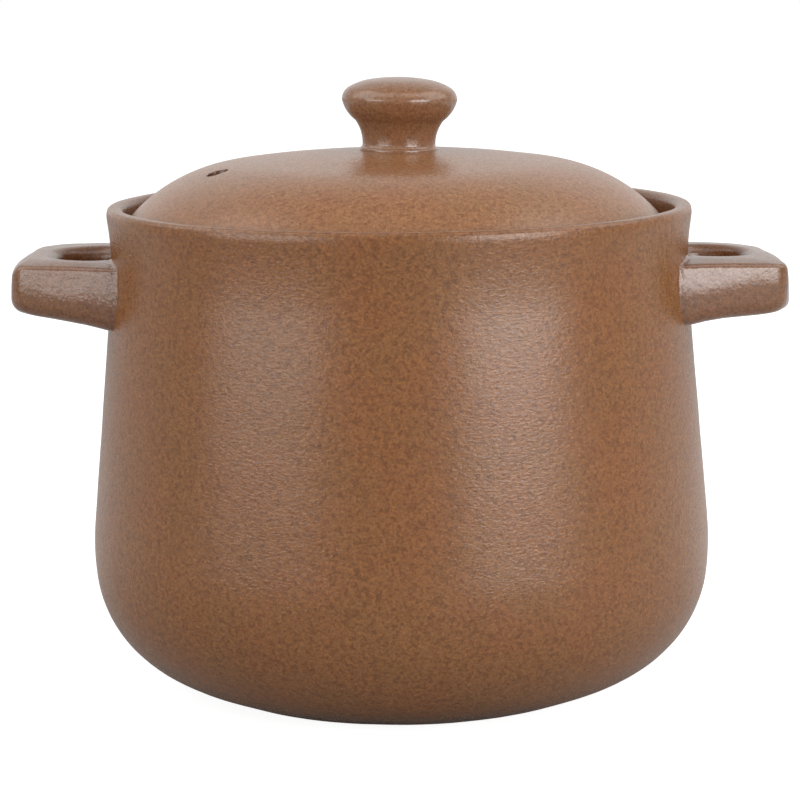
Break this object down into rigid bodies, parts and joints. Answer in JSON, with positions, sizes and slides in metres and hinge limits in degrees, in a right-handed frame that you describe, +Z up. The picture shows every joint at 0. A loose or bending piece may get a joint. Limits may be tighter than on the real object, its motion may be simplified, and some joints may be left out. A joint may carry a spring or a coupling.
{
  "type": "sand pot",
  "caption": "Tall round stoneware pot for slow cooking, with a loop handle on each side and a domed lid with a steam vent that lifts off by a turned knob.",
  "frame": {"origin": "middle of the foot, on the surface that the pot stands on", "axes": "+Z up along the pot's axis, +X towards the right-hand handle seen from the front, and the front faces -Y"},
  "size_m": [0.312, 0.2504, 0.242],
  "materials": {
    "brown_stoneware": "satin speckled brown glaze"
  },
  "bodies": {
    "pot": {"pot_body": "brown_stoneware", "handle_left": "brown_stoneware", "handle_right": "brown_stoneware"},
    "lid": {"lid_dome": "brown_stoneware", "lid_knob": "brown_stoneware"}
  },
  "joints": [
    {"name": "lid_lift", "type": "slide", "parent": "pot", "child": "lid", "axis": [0, 0, 1], "range_m": [0, 0.12]}
  ]
}
